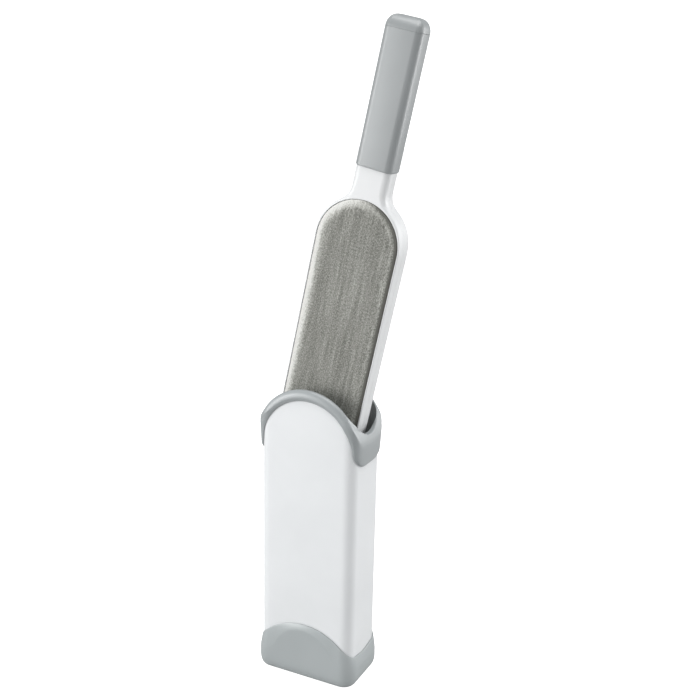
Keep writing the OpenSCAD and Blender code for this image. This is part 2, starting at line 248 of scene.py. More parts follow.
def boot_floor():
    """The boot's floor with its door opening, hinge ears and screw holes: the middle of the
    boot's own exact solid, cut out at the line where the shell's rim begins."""
    floor = bmesh.new()
    floor.from_mesh(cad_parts["boot"].data)
    bmesh.ops.remove_doubles(floor, verts=floor.verts, dist=1e-6)
    half_w = (SLEEVE_HALF_W + BOOT_FLARE - BOOT_TOE - BOOT_RIM) * MM + FLOOR_LAP
    half_d = (SLEEVE_HALF_D + BOOT_FLARE - BOOT_TOE - BOOT_RIM) * MM + FLOOR_LAP
    for normal, reach in (((1, 0, 0), half_w), ((-1, 0, 0), half_w),
                          ((0, 1, 0), half_d), ((0, -1, 0), half_d)):
        at = [n * reach for n in normal]
        geom = [*floor.verts, *floor.edges, *floor.faces]
        cut = bmesh.ops.bisect_plane(floor, geom=geom, plane_co=at, plane_no=normal, clear_outer=True)
        rim = [e for e in cut["geom_cut"] if isinstance(e, bmesh.types.BMEdge)]
        bmesh.ops.triangle_fill(floor, edges=rim, use_beauty=True)
    bmesh.ops.recalc_face_normals(floor, faces=floor.faces)
    mesh = bpy.data.meshes.new("boot_floor")
    floor.to_mesh(mesh)
    floor.free()
    mesh.shade_smooth()
    mesh.set_sharp_from_angle(angle=math.radians(FLOOR_CREASE))
    return mesh


place_piece(boot_floor(), boot_plastic, "base", [])

# ---------------------------------------------------------------------------
# Door in the boot's floor, through which the collected hair is emptied. It
# is a grey moulded plate that swings on a steel pin between the boot's ears.
# ---------------------------------------------------------------------------
DOOR_GREY = (0.315, 0.34, 0.348, 1)
DOOR_SHADE = (0.29, 0.315, 0.322, 1)
DOOR_ROUGH, DOOR_SHINE = 0.42, 0.8
STEEL, STEEL_SHADE = (0.62, 0.62, 0.61, 1), (0.5, 0.5, 0.49, 1)
STEEL_ROUGH, SCRATCH, SCRATCH_DEPTH = 0.3, 2e-4, 1e-5


def turned_steel(name):
    """Plated steel with fine scratches: noise squeezed along one axis, in colour and height."""
    material = moulded_plastic(name, STEEL, STEEL_SHADE, STEEL_ROUGH, SCRATCH, SCRATCH_DEPTH)
    nodes, links = material.node_tree.nodes, material.node_tree.links
    nodes["Principled BSDF"].inputs["Metallic"].default_value = 1.0
    stretch = nodes.new("ShaderNodeMapping")
    stretch.inputs["Scale"].default_value = (1, 6, 1)
    place = next(n for n in nodes if n.bl_idname == "ShaderNodeTexCoord")
    links.new(place.outputs["Object"], stretch.inputs["Vector"])
    for noise in [n for n in nodes if n.bl_idname == "ShaderNodeTexNoise"]:
        links.new(stretch.outputs["Vector"], noise.inputs["Vector"])
    return material


door_plastic = moulded_plastic("door_grey_plastic", DOOR_GREY, DOOR_SHADE, DOOR_ROUGH, FINE_GRAIN,
                               GRAIN_DEPTH, DOOR_SHINE)
steel = turned_steel("plated_steel")
refinish("bottom_door", door_plastic)
refinish("door_hinge_pin", steel)
refinish("boot_screws", steel)

# ---------------------------------------------------------------------------
# Wipers: on each long wall inside, a white moulded carrier with a thin sheet
# of foam, wrapped in napped fabric that strips the hair off the brush.
# ---------------------------------------------------------------------------
CARRIER_WHITE, CARRIER_SHADE, CARRIER_ROUGH = (0.74, 0.75, 0.75, 1), (0.7, 0.71, 0.71, 1), 0.42
# The darkest and palest nap colours also serve as the painted shade and painted highlight at a pad's edge.
NAP_DARK, NAP_MID, NAP_LIGHT = (0.13, 0.13, 0.115, 1), (0.235, 0.237, 0.215, 1), (0.37, 0.37, 0.34, 1)
NAP_TIPS_AND_HIGHLIGHT, NAP_SHEEN = (0.7, 0.7, 0.67, 1), (0.95, 0.95, 0.9, 1)
STREAKS, FIBRES, PATCHES = (450, 450, 30), (1300, 1300, 760), (60, 60, 30)
# The last share sets how far the painted edge light and shade move the nap's colour.
STREAK_SHARE, PATCH_SHARE, PAINTED_EDGE_SHARE = 0.28, 0.04, 0.6
NAP_ROOTS, NAP_ENDS, NAP_HEIGHT = 0.27, 1.04, 3e-4
FOAM_GREY, FOAM_SHADE = (0.09, 0.09, 0.095, 1), (0.05, 0.05, 0.053, 1)
FOAM_ROUGH, FOAM_PORE, PORE_DEPTH = 0.92, 7e-4, 4e-4
WIPER_FACE, WRAP, FOAM_T = 10.3, 1.0, 1.4
WIPER_HALF_W, WIPER_Z0, WIPER_Z1, WIPER_R = 28.0, 27.0, 185.0, 5.0
FOAM_INSET, FOAM_SOFT, WRAP_SOFT, WIPER_CROWN = 1.4, 0.5, 1.6, 0.15


def napped_fabric(name, lean_degrees):
    """Short one-way nap. Streaks a millimetre or two wide run along the piece, laid over finer
    fibre noise and broad faint patches, with bright fibre ends scattered among them; the same
    pattern lifts the surface. A point attribute carries painted light and shade: above zero it
    shifts the colour up towards the palest stop as a painted highlight, and below zero down
    towards the darkest stop as painted shade. A sheen lights the fibres where the surface turns away."""
    material = bpy.data.materials.new(name)
    material.use_nodes = True
    nodes, links = material.node_tree.nodes, material.node_tree.links
    cloth = nodes["Principled BSDF"]
    place = nodes.new("ShaderNodeTexCoord")
    along = nodes.new("ShaderNodeMapping")
    along.vector_type = "TEXTURE"
    along.inputs["Rotation"].default_value = (0, math.radians(lean_degrees), 0)
    links.new(place.outputs["Object"], along.inputs["Vector"])

    def noise(scale, detail, roughness):
        """Noise with so many lumps to the metre across, through and along the piece."""
        stretch = nodes.new("ShaderNodeMapping")
        stretch.inputs["Scale"].default_value = scale
        grain = nodes.new("ShaderNodeTexNoise")
        grain.inputs["Scale"].default_value = 1
        grain.inputs["Detail"].default_value = detail
        grain.inputs["Roughness"].default_value = roughness
        links.new(along.outputs["Vector"], stretch.inputs["Vector"])
        links.new(stretch.outputs["Vector"], grain.inputs["Vector"])
        return grain.outputs["Fac"]

    def laid_over(top, share, under):
        """A share of one pattern added to another."""
        total = nodes.new("ShaderNodeMath")
        total.operation = "MULTIPLY_ADD"
        total.inputs[1].default_value = share
        links.new(top, total.inputs[0])
        links.new(under, total.inputs[2])
        return total.outputs[0]

    streaks = noise(STREAKS, 2, 0.5)
    fibres = noise(FIBRES, 3, 0.8)
    patches = noise(PATCHES, 2, 0.5)
    pile = laid_over(streaks, STREAK_SHARE, fibres)
    pile = laid_over(patches, PATCH_SHARE, pile)

    ramp = nodes.new("ShaderNodeValToRGB")
    stops = ramp.color_ramp.elements
    stops[0].position, stops[0].color = 0.36, NAP_DARK
    stops[1].position, stops[1].color = 0.66, NAP_LIGHT
    stops.new(0.5).color = NAP_MID
    stops.new(0.98).color = NAP_TIPS_AND_HIGHLIGHT
    level = nodes.new("ShaderNodeMapRange")
    level.inputs["From Min"].default_value = NAP_ROOTS
    level.inputs["From Max"].default_value = NAP_ENDS
    links.new(pile, level.inputs["Value"])
    # Painted light and shade at the pad's edge, stored on its points by puff().
    painted_edge_shading = nodes.new("ShaderNodeAttribute")
    painted_edge_shading.attribute_name = "painted_edge_shading"
    shown = laid_over(painted_edge_shading.outputs["Fac"], PAINTED_EDGE_SHARE, level.outputs["Result"])
    links.new(shown, ramp.inputs["Fac"])
    links.new(ramp.outputs["Color"], cloth.inputs["Base Color"])

    bump = nodes.new("ShaderNodeBump")
    bump.inputs["Strength"].default_value = 0.9
    bump.inputs["Distance"].default_value = NAP_HEIGHT
    links.new(pile, bump.inputs["Height"])
    links.new(bump.outputs["Normal"], cloth.inputs["Normal"])
    cloth.inputs["Roughness"].default_value = 0.85
    cloth.inputs["Sheen Weight"].default_value = 0.8
    cloth.inputs["Sheen Roughness"].default_value = 0.35
    cloth.inputs["Sheen Tint"].default_value = NAP_SHEEN
    return material


def wiper_pillow(half_w, z0, z1, corner, back, face, edge_r, sign):
    """A thin pillow against the wall: rings of a rounded rectangle that shrink towards its
    middle, up the side, over a quarter-circle shoulder and across a face a little crowned."""
    half_h, mid = (z1 - z0) / 2, (z1 + z0) / 2
    turn = np.linspace(0, 2 * math.pi, 128, endpoint=False)[None, :]
    cx = np.sign(np.cos(turn)) * (half_w - corner)
    cz = np.sign(np.sin(turn)) * (half_h - corner)
    arc = np.linspace(0, math.pi / 2, 7)[:, None]
    margin = np.concatenate([[[0.3]], [[0.0]], edge_r * (1 - np.cos(arc))])
    depth = np.concatenate([[[0.0]], [[0.3]], (abs(back - face) - edge_r) + edge_r * np.sin(arc)])
    radius = corner - np.minimum(margin, corner - 0.5)
    x, z = cx + radius * np.cos(turn), cz + radius * np.sin(turn)
    shrink = np.linspace(0.96, 0, 14)[:, None]
    x = np.concatenate([0 * turn, x[:1], x[1:], x[-1:] * shrink])
    z = np.concatenate([0 * turn, z[:1], z[1:], z[-1:] * shrink])
    crown = WIPER_CROWN * (1 - shrink**2)
    depth = np.concatenate([[[0.0]], depth, depth[-1:] + crown - WIPER_CROWN])
    y = sign * (back - depth) + 0 * x
    return np.stack([x, y, z + mid], -1)


carrier_plastic = moulded_plastic("carrier_white_plastic", CARRIER_WHITE, CARRIER_SHADE, CARRIER_ROUGH,
                                  FINE_GRAIN, GRAIN_DEPTH)
wiper_nap = napped_fabric("wiper_nap_fabric", 0)
foam_material = moulded_plastic("foam_grey", FOAM_GREY, FOAM_SHADE, FOAM_ROUGH, FOAM_PORE, PORE_DEPTH)
for side, sign in (("front", -1), ("back", 1)):
    refinish("wiper_carrier_" + side, carrier_plastic)
    back = WIPER_FACE + WRAP + FOAM_T
    sheet = wiper_pillow(WIPER_HALF_W - FOAM_INSET, WIPER_Z0 + FOAM_INSET, WIPER_Z1 - FOAM_INSET,
                         WIPER_R - FOAM_INSET, back, WIPER_FACE + WRAP, FOAM_SOFT, sign)
    foam = place_piece(build_mesh("wiper_foam_sheet_" + side, sheet, False), foam_material, "base",
                       ["wiper_foam_" + side])
    cover = wiper_pillow(WIPER_HALF_W, WIPER_Z0, WIPER_Z1, WIPER_R, back, WIPER_FACE, WRAP_SOFT, sign)
    wrap = place_piece(build_mesh("wiper_nap_" + side, cover, False), wiper_nap, "base",
                       ["wiper_fabric_" + side])

# ---------------------------------------------------------------------------
# Collar: the grey moulded cap that is pressed over the sleeve's arched rim.
# A bead runs over each broad face, and a tongue comes down on each side.
# ---------------------------------------------------------------------------
COLLAR_GREY = (0.315, 0.338, 0.345, 1)
COLLAR_SHADE = (0.295, 0.318, 0.325, 1)
CROWN_R, CROWN_Z = 43.0, 195.0
BAND_R, BAND_Z = 37.5, 192.0
COLLAR_SIDE, COLLAR_FACE = 3.0, 2.2
TONGUE_Z, TONGUE_R = 181.0, 16.0
DIP_Z, DIP_R = 205.0, 20.0
MOUTH = -1.72
SKIRT_Z, SKIRT_T = 196.0, 0.7
CROWN_RUN, RIM_BLEND = 40.0, 1.2
FACE_ROLL, SIDE_ROLL = 5.0, 1.2
FACE_BEVEL, SIDE_BEVEL = 2.6, 1.2
LOW_SIDE, LOW_LIP = 0.6 * COLLAR_SIDE, 0.7


def walked(x):
    """How far along the sleeve's outline a point with this x lies, on the front and its corner."""
    return np.where(x < FRONT_FLAT, x,
                    FRONT_FLAT + SLEEVE_R * np.arcsin(np.clip((x - FRONT_FLAT) / SLEEVE_R, 0, 1)))


def collar_shell():
    """A closed section carried round the mouth. Its lower line is a circle across the face, a
    rounded tip and the level foot of the tongue. Its upper line is the crown's circle, dipped in
    the middle of the narrow side. From the lower line the skin rises over a small bevel, stands
    out further as it climbs, and rolls over a quarter ellipse into the mouth, where a short
    skirt hangs inside the sleeve. No point passes beyond the crown's circle, so the sides lean
    in as they rise."""
    end_turn = math.acos((TONGUE_Z + TONGUE_R - BAND_Z) / BAND_R)
    arc = BAND_R * end_turn
    tip = arc + TONGUE_R * math.pi / 2
    leg_w = float(walked(np.array(BAND_R * math.sin(end_turn))))
    foot = tip + QUARTER - leg_w - TONGUE_R
    run = np.concatenate([np.linspace(0, arc, 42)[:-1], np.linspace(arc, tip, 24)[:-1],
                          np.linspace(tip, foot, 8)])[None, :]
    turn = np.clip(run / BAND_R, 0, end_turn)
    round_tip = np.clip((run - arc) / TONGUE_R, 0, math.pi / 2)
    low_w = walked(BAND_R * np.sin(turn)) + TONGUE_R * (1 - np.cos(round_tip)) + np.clip(run - tip, 0, None)
    low_z = BAND_Z + BAND_R * np.cos(turn) - TONGUE_R * np.sin(round_tip)

    crown_w = float(walked(np.array(CROWN_R * math.sin(CROWN_RUN / BAND_R))))
    past_crown = np.clip((run - CROWN_RUN) / (foot - CROWN_RUN), 0, 1)
    up_w = np.where(run < CROWN_RUN, walked(CROWN_R * np.sin(np.minimum(turn, CROWN_RUN / BAND_R))),
                    crown_w + (QUARTER - crown_w) * past_crown)

    def rim_height(w, out):
        """The crown's circle, or the dip's on the narrow side, whichever is lower, blended."""
        x, y, _, _ = round_the_sleeve(w, np.minimum(out, 0))
        crown = CROWN_Z + np.sqrt(np.maximum(CROWN_R**2 - x**2, 0))
        dip = DIP_Z + DIP_R - np.sqrt(np.maximum(DIP_R**2 - y**2, 0.01))
        dip = np.where(np.abs(y) < DIP_R, dip, 300.0)
        gap = np.clip(0.5 + (dip - crown) / (2 * RIM_BLEND), 0, 1)
        return dip + (crown - dip) * gap - RIM_BLEND * gap * (1 - gap)

    _, _, nx, ny = round_the_sleeve(up_w, 0.0)
    stand_out = COLLAR_FACE * ny**2 + COLLAR_SIDE * nx**2
    _, _, nx_low, ny_low = round_the_sleeve(low_w, 0.0)
    stand_low = COLLAR_FACE * ny_low**2 + LOW_SIDE * nx_low**2
    up_z = rim_height(up_w, 0 * up_w)
    roll = FACE_ROLL * ny**2 + SIDE_ROLL * nx**2
    bevel = FACE_BEVEL * ny_low**2 + SIDE_BEVEL * nx_low**2
    long = np.hypot(up_w - low_w, up_z - low_z)

    rows_w, rows_z, rows_out = [], [], []

    def lower_row(up, out):
        """A row at a distance from the lower line, towards the upper one."""
        t = up / long
        rows_w.append(low_w + (up_w - low_w) * t)
        rows_z.append(low_z + (up_z - low_z) * t)
        rows_out.append(out)

    for up, out in ((1.2, 0.04), (1.2, 0.35), (0, 0.35), (0, 0.6), (0.08, 0.72)):
        lower_row(up + 0 * bevel, out + 0 * bevel)
    for share in (0.35, 0.65, 0.88):
        lower_row(bevel * share, LOW_LIP + (stand_low - LOW_LIP) * share**0.8)
    lower_row(bevel * 1.15, stand_low)
    for t in np.linspace(0, 1, 9)[1:-1]:
        start, end = bevel * 1.15 / long, 1 - roll / long
        share = start + (end - start) * t
        rows_w.append(low_w + (up_w - low_w) * share)
        rows_z.append(low_z + (up_z - low_z) * share)
        rows_out.append(stand_low + (stand_out - stand_low) * math.sin(t * math.pi / 2))
    for angle in np.linspace(0, math.pi / 2, 12):
        share = 1 - roll * (1 - math.sin(angle)) / long
        out = MOUTH + 0.3 + (stand_out - MOUTH - 0.3) * math.cos(angle)
        w = low_w + (up_w - low_w) * share
        top = rim_height(w, out)
        z = low_z + (up_z - low_z) * share
        lift = soft_step(np.full_like(z, angle), 0.9, math.pi / 2)
        rows_w.append(w)
        rows_z.append(z + (top - z) * lift)
        rows_out.append(out)
    top = rim_height(up_w, MOUTH + 0 * up_w)
    for drop, out in ((0.08, MOUTH + 0.1), (0.3, MOUTH), (2.5, MOUTH)):
        rows_w.append(up_w)
        rows_z.append(top - drop)
        rows_out.append(out + 0 * up_w)
    for height, out in ((SKIRT_Z, MOUTH), (SKIRT_Z - 0.2, MOUTH + 0.2), (SKIRT_Z - 0.2, MOUTH + SKIRT_T),
                        (SKIRT_Z + 4, MOUTH + SKIRT_T)):
        rows_w.append(up_w)
        rows_z.append(height + 0 * up_w)
        rows_out.append(out + 0 * up_w)
    w, z, out = np.concatenate(rows_w), np.concatenate(rows_z), np.concatenate(rows_out)
    x, y, _, _ = round_the_sleeve(w, out)
    lean_in = np.sqrt(np.maximum(CROWN_R**2 - np.maximum(z - CROWN_Z, 0) ** 2, 0))
    x = np.where(z > CROWN_Z, np.minimum(x, lean_in + 0.2 * np.exp(-(z - CROWN_Z) / 4)), x)
    return full_ring(np.stack([x, y, z], -1))


collar_plastic = moulded_plastic("collar_grey_plastic", COLLAR_GREY, COLLAR_SHADE, GREY_ROUGH, COARSE_GRAIN,
                                 GRAIN_DEPTH, GREY_SHINE)
place_piece(build_mesh("collar_cap", collar_shell(), True), collar_plastic, "base", ["collar"])

# ---------------------------------------------------------------------------
# Paddle: two white moulded half shells, screwed together from the front.
# Each has a shallow bed for its pad, and both run up into the neck.
# ---------------------------------------------------------------------------
PADDLE_WHITE, PADDLE_SHADE = (0.73, 0.74, 0.745, 1), (0.705, 0.715, 0.72, 1)
SWING_X, SWING_Z, SEAT_Z, LEAN = 736.0, 128.0, 16.0, 11.9
END_R, BED_R, TOP_Z = 33.4, 32.3, 180.0
HALF_T, BED_DEPTH = 8.5, 1.5
NECK, HOLLOW_R, NECK_TOP = 13.8, 14.0, 234.5
FULL_SHOULDER = 1.0
RIM_SOFT, NECK_SOFT, JOINT_GAP = 0.7, 4.8, 0.02
PADDLE_ROUGH = 0.34


def brought_out(points):
    """Swings a brush piece from upright and home to its leaning rest place, about the far
    centre of its travel, and lifts it to its seat first."""
    c, s = math.cos(math.radians(LEAN)), math.sin(math.radians(LEAN))
    x, z = points[..., 0] - SWING_X, points[..., 2] + SEAT_Z - SWING_Z
    return np.stack([SWING_X + x * c + z * s, points[..., 1], SWING_Z - x * s + z * c], -1)


def paddle_half_outline():
    """Right half of the outline, from the middle of the lower end to the middle of the neck's
    top: a quarter circle, a straight, a full shoulder, a hollow, the neck. Gives the points
    and, for each, its partner on the bed's edge."""
    quarter = np.linspace(0, math.pi / 2, 25)
    low = np.stack([END_R * np.sin(quarter), END_R - END_R * np.cos(quarter)], -1)
    low_bed = np.stack([BED_R * np.sin(quarter), END_R - BED_R * np.cos(quarter)], -1)
    rise = np.linspace(END_R, TOP_Z, 40)[1:-1]
    body = np.stack([END_R + 0 * rise, rise], -1)
    body_bed = np.stack([BED_R + 0 * rise, rise], -1)

    reach = NECK + HOLLOW_R
    hollow_z = TOP_Z + math.sqrt((END_R + FULL_SHOULDER + HOLLOW_R) ** 2 - reach**2)
    touch = math.atan2(hollow_z - TOP_Z, reach)
    turn = np.linspace(0, touch, 28)
    swell = END_R + FULL_SHOULDER * soft_step(turn, 0.1, 0.75)
    shoulder = np.stack([swell * np.cos(turn), TOP_Z + swell * np.sin(turn)], -1)
    turn = np.linspace(touch, 0, 16)[1:]
    hollow = np.stack([reach - HOLLOW_R * np.cos(turn), hollow_z - HOLLOW_R * np.sin(turn)], -1)
    rise = np.linspace(hollow[-1, 1], NECK_TOP, 14)[1:]
    neck = np.stack([NECK + 0 * rise, rise], -1)
    across = np.linspace(NECK - NECK_SOFT, 0, 6)
    end = np.stack([across, NECK_TOP + 0 * across], -1)
    top = np.concatenate([shoulder, hollow, neck, end])
    ray = np.arctan2(top[:, 1] - TOP_Z, top[:, 0])
    top_bed = np.stack([BED_R * np.cos(ray), TOP_Z + BED_R * np.sin(ray)], -1)
    return np.concatenate([low, body, top]), np.concatenate([low_bed, body_bed, top_bed])


def outward(line):
    """Unit normals of an open line of points, to the right of the way it runs."""
    along = np.gradient(line, axis=0)
    along[[0, -1], 1] = 0
    normal = np.stack([along[:, 1], -along[:, 0]], -1)
    return normal / np.linalg.norm(normal, axis=1, keepdims=True)


def paddle_shell(sign):
    """One half shell: from the bed's edge across the rim, over a quarter-round edge that grows
    softer along the neck, down the side wall to a hairline at the joint, and back across the
    middle. The rim's rows crowd towards the rounded edge, so that the flat shades as flat."""
    line, bed = paddle_half_outline()
    normal = outward(line)
    soft = RIM_SOFT + (NECK_SOFT - RIM_SOFT) * soft_step(line[:, 1:], 190, 226)
    room = np.linalg.norm(line - bed, axis=1, keepdims=True)
    soft = np.minimum(soft, room - 0.4)
    on_side = np.where((line[:, 1:] < NECK_TOP - 0.01) | (line[:, :1] > NECK - 0.01), 1.0, 0.0)
    normal = np.where(line[:, 1:] > NECK_TOP - 0.01, (1.0, 0.0), normal) * on_side
    bed_floor = HALF_T - BED_DEPTH - 0.6
    inside = line - normal * soft
    start = bed + 0.2 * normal_of(bed)
    rows = [(bed, bed_floor), (bed, HALF_T - 0.2), (start, HALF_T)]
    for share in (0.3, 0.7, 0.9, 0.97):
        rows.append((start + (inside - start) * share, HALF_T))
    for angle in np.linspace(0, math.pi / 2, 9):
        drawn_in = line - normal * soft * (1 - math.sin(angle))
        rows.append((drawn_in, HALF_T - soft[:, 0] * (1 - math.cos(angle))))
    centre = np.stack([0 * line[:, 0], np.clip(line[:, 1], END_R, TOP_Z)], -1)
    rows += [(line, 0.12), (line - normal * 0.12, JOINT_GAP), (centre, JOINT_GAP), (centre, bed_floor)]
    half = np.stack([np.stack([p[:, 0], sign * (0 * p[:, 0] + y), p[:, 1]], -1) for p, y in rows])
    whole = np.concatenate([half, half[:, -2:0:-1] * (-1, 1, 1)], 1)
    return brought_out(whole)


def normal_of(line):
    """Unit directions from the bed's middle line to the points of its edge."""
    centre = np.stack([0 * line[:, 0], np.clip(line[:, 1], END_R, TOP_Z)], -1)
    away = line - centre
    return away / np.linalg.norm(away, axis=1, keepdims=True)


paddle_plastic = moulded_plastic("paddle_white_plastic", PADDLE_WHITE, PADDLE_SHADE, PADDLE_ROUGH,
                                 FINE_GRAIN, GRAIN_DEPTH)
for side, sign in (("front", -1), ("back", 1)):
    shell = build_mesh("paddle_shell_" + side, paddle_shell(sign), True)
    place_piece(shell, paddle_plastic, "brush", [f"paddle_{side}_shell"])
    refinish("pad_board_" + side, carrier_plastic)
refinish("paddle_screws", steel)

# ---------------------------------------------------------------------------
# Pads: one on each face of the paddle. A thin board carries foam, and the
# napped fabric is drawn over both and tucked in behind the board's edge.
# ---------------------------------------------------------------------------
PAD_R, PAD_FACE, PAD_BACK, PAD_EDGE = 32.0, 9.65, 7.0, 5.0
PAD_FOAM_R, PAD_FOAM_EDGE = PAD_R - 1.35, 0.5
PAD_FOAM_FACE, PAD_FOAM_BACK = PAD_FACE - 0.95, HALF_T - BED_DEPTH + 1.2
TUCK = 1.1
AIR, PUFF, STIFF, COVER_MASS = 4.0, 0.3, 20, 0.2
# Width of the painted highlight band, width of the painted shade strip, and the brighter line's depth in
# and share.
PALE_WIDTH, SHADE_WIDTH, BRIGHT_LINE_IN, BRIGHT_LINE_SHARE = 8.5, 2.2, 4.2, 0.25


def pad_pillow(radius, back, face, edge_r, sign):
    """A long pad with two round ends: rings about its middle line that swell out from the tucked
    edge, then shrink over an elliptical shoulder and in across the face to the middle line."""
    turn = np.linspace(0, math.pi, 40)
    rise = np.linspace(0, 1, 46)[1:-1]
    low_mid, high_mid = END_R + 0 * turn, TOP_Z + 0 * turn
    away = np.concatenate([
        np.stack([np.cos(turn), np.sin(turn)], -1), np.stack([-1 + 0 * rise, 0 * rise], -1),
        np.stack([-np.cos(turn), -np.sin(turn)], -1), np.stack([1 + 0 * rise, 0 * rise], -1)])
    middle = np.concatenate([high_mid, TOP_Z + (END_R - TOP_Z) * rise,
                             low_mid, END_R + (TOP_Z - END_R) * rise])
    arc = np.linspace(0, math.pi / 2, 11)
    deep = face - back
    tuck = deep * 0.5
    low = 1 - np.cos(arc[:4] * 1.4)[::-1]
    reach = np.concatenate([[0, radius * 0.5, radius - 2], radius - TUCK * low,
                            radius - edge_r * (1 - np.cos(arc[1:])),
                            np.linspace(radius - edge_r, 0, 24)[1:]])
    up = np.concatenate([[0, 0, 0], tuck * np.linspace(0.1, 1, 4), tuck + (deep - tuck) * np.sin(arc[1:]),
                         deep + 0 * np.linspace(0, 1, 23)])
    x = reach[:, None] * away[None, :, 0]
    z = middle[None, :] + reach[:, None] * away[None, :, 1]
    y = sign * (back + up)[:, None] + 0 * x
    return brought_out(np.stack([x, y, z], -1))


def puff(piece, sign):
    """A short cloth simulation in which the tucked edge is held and air pressure swells the
    cover, so it draws tight over the foam unevenly, as real fabric does. No point moves
    further than the puff's limit. Then paints light and shade on each point near the edge. On the
    side towards the lamps a pale band of painted highlight rises towards the edge. On the other
    side the last strip goes dark with painted shade, and a thin brighter line lies a little way in."""
    mesh = piece.data
    flat = np.empty(len(mesh.vertices) * 3, "f")
    mesh.vertices.foreach_get("co", flat)
    start = flat.reshape(-1, 3).astype(float)
    high = np.abs(start[:, 1]) / MM
    held = piece.vertex_groups.new(name="tucked")
    held.add(np.flatnonzero(high < PAD_BACK + 0.6).tolist(), 1.0, "REPLACE")
    cloth = piece.modifiers.new("drawn_tight", "CLOTH")
    cloth.settings.vertex_group_mass = held.name
    cloth.settings.quality = 8
    cloth.settings.mass = COVER_MASS
    cloth.settings.tension_stiffness = cloth.settings.compression_stiffness = STIFF
    cloth.settings.use_pressure = True
    cloth.settings.uniform_pressure_force = AIR
    cloth.settings.effector_weights.gravity = 0
    for step in range(1, 21):
        bpy.context.scene.frame_set(step)
    shaped = piece.evaluated_get(bpy.context.evaluated_depsgraph_get()).data
    shaped.vertices.foreach_get("co", flat)
    move = flat.reshape(-1, 3) - start
    size = np.linalg.norm(move, axis=1, keepdims=True)
    piece.modifiers.remove(cloth)
    piece.vertex_groups.remove(held)
    bpy.context.scene.frame_set(1)
    start = start + move * np.minimum(1, PUFF * MM / np.maximum(size, 1e-9))
    mesh.vertices.foreach_set("co", start.astype("f").ravel())
    mesh.update()
    c, s = math.cos(math.radians(LEAN)), math.sin(math.radians(LEAN))
    x, z = start[:, 0] / MM - SWING_X, start[:, 2] / MM - SWING_Z
    x, z = SWING_X + x * c - z * s, SWING_Z + x * s + z * c - SEAT_Z
    rise = z - np.clip(z, END_R, TOP_Z)
    reach = np.hypot(x, rise)
    # Which side of the edge faces the lamps: painted highlight goes there, painted shade on the far side.
    toward_lamps = 0.5 + 0.5 * (0.95 * sign * x + 0.3 * rise) / np.maximum(reach, 1)
    pale = soft_step(reach, PAD_R - PALE_WIDTH, PAD_R - 0.5) * soft_step(toward_lamps, 0.3, 1.0)
    dark = soft_step(reach, PAD_R - SHADE_WIDTH, PAD_R - 0.8) * (1 - soft_step(toward_lamps, 0.2, 0.75))
    bright_line = BRIGHT_LINE_SHARE * np.exp(-(reach - PAD_R + BRIGHT_LINE_IN)**2) * (1 - soft_step(toward_lamps, 0.3, 0.8))
    # The painted highlight, the brighter line and the painted shade, kept as one point attribute for the
    # nap's colour.
    painted_edge_shading = mesh.attributes.new("painted_edge_shading", "FLOAT", "POINT")
    painted_edge_shading.data.foreach_set("value", pale + bright_line - dark)


pad_nap = napped_fabric("pad_nap_fabric", LEAN)
for side, sign in (("front", -1), ("back", 1)):
    sheet = pad_pillow(PAD_FOAM_R, PAD_FOAM_BACK, PAD_FOAM_FACE, PAD_FOAM_EDGE, sign)
    foam = place_piece(build_mesh("pad_foam_sheet_" + side, sheet, False), foam_material, "brush",
                       ["pad_foam_" + side])
    sheet = pad_pillow(PAD_R, PAD_BACK, PAD_FACE, PAD_EDGE, sign)
    cover = place_piece(build_mesh("pad_nap_" + side, sheet, False), pad_nap, "brush",
                        ["pad_fabric_" + side])
    puff(cover, sign)

# ---------------------------------------------------------------------------
# Grip: a grey moulded tube pushed over the tang above the neck, and its end
# cap, which is plugged into the tube's open end.
# ---------------------------------------------------------------------------
GRIP_GREY, GRIP_SHADE = (0.3, 0.318, 0.323, 1), (0.28, 0.298, 0.303, 1)
GRIP_HALF_W, GRIP_HALF_T, GRIP_R = 14.4, 9.6, 5.5
GRIP_Z0, GRIP_L, CAP_H = 234.5, 94.0, 9.0
GRIP_WALL, GROOVE, GROOVE_H, GRIP_EDGE = 4.0, 0.9, 0.45, 0.6
CAP_ROUND, PLUG_IN, PLUG_DEEP = 8.0, 4.2, 7.5
TO_MIDDLE = GRIP_HALF_T


def grip_ring(set_in, z):
    """Rings of a rounded rectangle, each drawn in by a distance, one for each height. Past the
    corner's own radius the sides close in on each other, and a ring drawn in by half the grip's
    thickness is a line."""
    turn = np.linspace(0, 2 * math.pi, 96, endpoint=False)[None, :]
    set_in, z = np.array(set_in, float)[:, None], np.array(z, float)[:, None]
    core_w = np.maximum(GRIP_HALF_W - GRIP_R - np.maximum(set_in - GRIP_R + 1, 0), 0)
    core_t = np.maximum(GRIP_HALF_T - GRIP_R - np.maximum(set_in - GRIP_R + 1, 0), 0)
    radius = np.maximum(GRIP_R - set_in, 0)
    radius = np.where(set_in > GRIP_R - 1, np.clip(TO_MIDDLE - set_in, 0, 1), radius)
    x = np.sign(np.round(np.cos(turn), 9)) * core_w + radius * np.cos(turn)
    y = np.sign(np.round(np.sin(turn), 9)) * core_t + radius * np.sin(turn)
    return brought_out(np.stack([x, y, z + 0 * x], -1))


